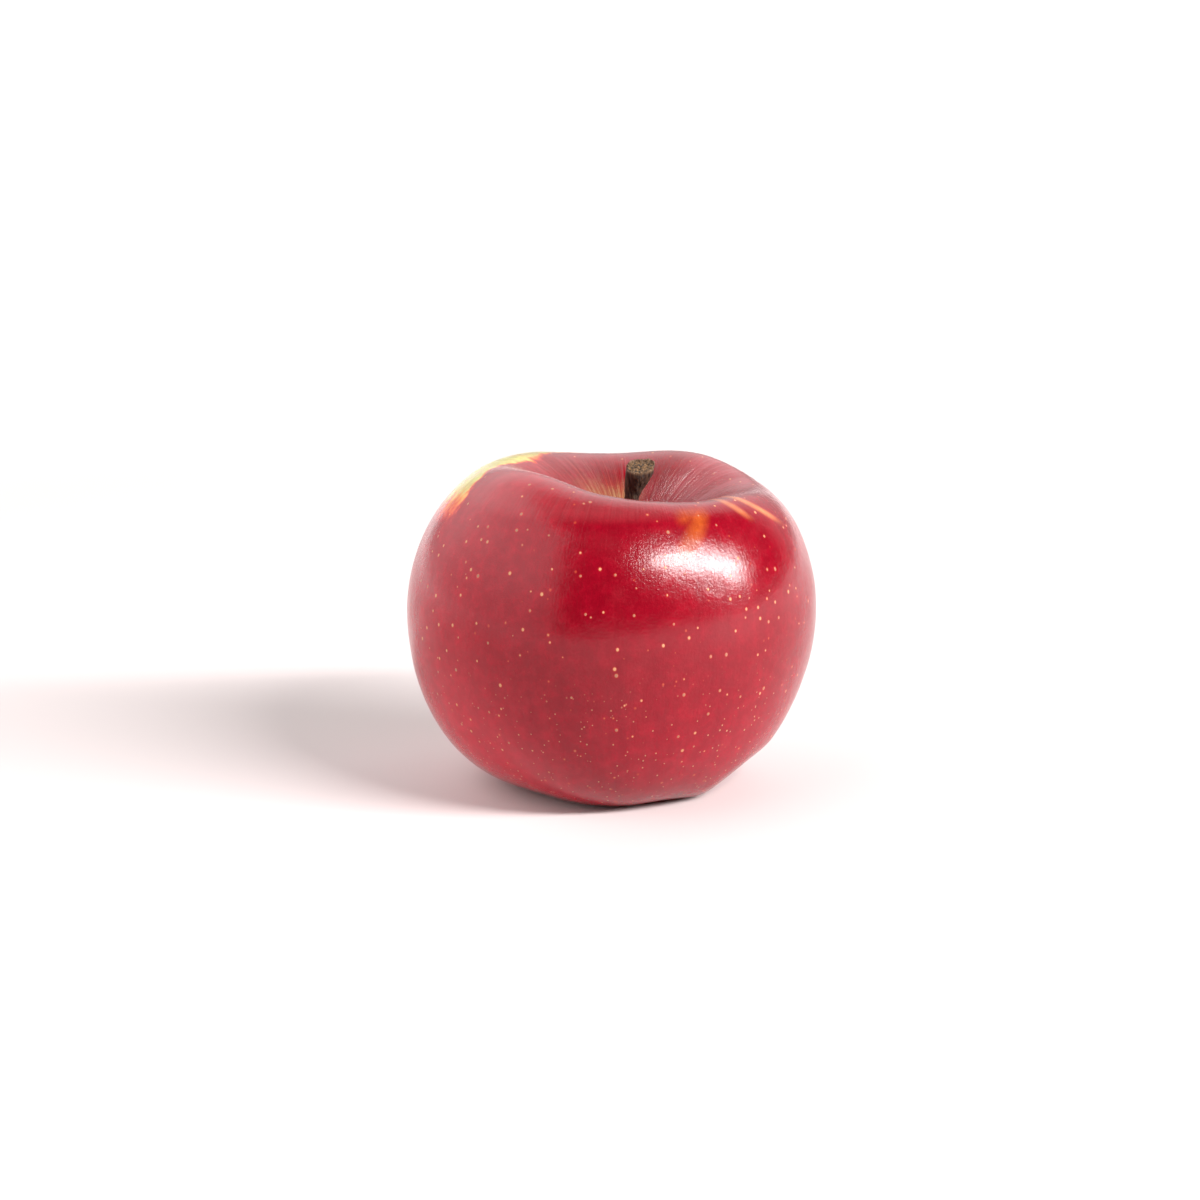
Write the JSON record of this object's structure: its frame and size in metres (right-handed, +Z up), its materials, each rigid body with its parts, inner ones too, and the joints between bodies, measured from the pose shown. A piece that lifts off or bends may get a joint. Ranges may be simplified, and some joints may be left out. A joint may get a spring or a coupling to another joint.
{
  "type": "apple",
  "caption": "Lopsided round red apple as picked, standing on its lobed base, with a short woody stem in its cavity and a dried calyx in the basin underneath.",
  "frame": {"origin": "on the table, under the middle of the fruit's outline seen from above", "axes": "+Z up from the blossom end to the stem, +X to the right of the view that shows the stem leaning forward, along the fruit's widest line; the bulging cheek is on -X and the front is -Y"},
  "size_m": [0.0802, 0.0778, 0.0649],
  "materials": {
    "skin": "gloss",
    "stem_wood": "matte",
    "dry_sepal": "matte",
    "dry_stamen": "matte"
  },
  "bodies": {
    "root": {"fruit": "skin", "stem": "stem_wood", "sepal_1": "dry_sepal", "sepal_2": "dry_sepal", "sepal_3": "dry_sepal", "sepal_4": "dry_sepal", "sepal_5": "dry_sepal", "stamens": "dry_stamen"}
  },
  "joints": []
}
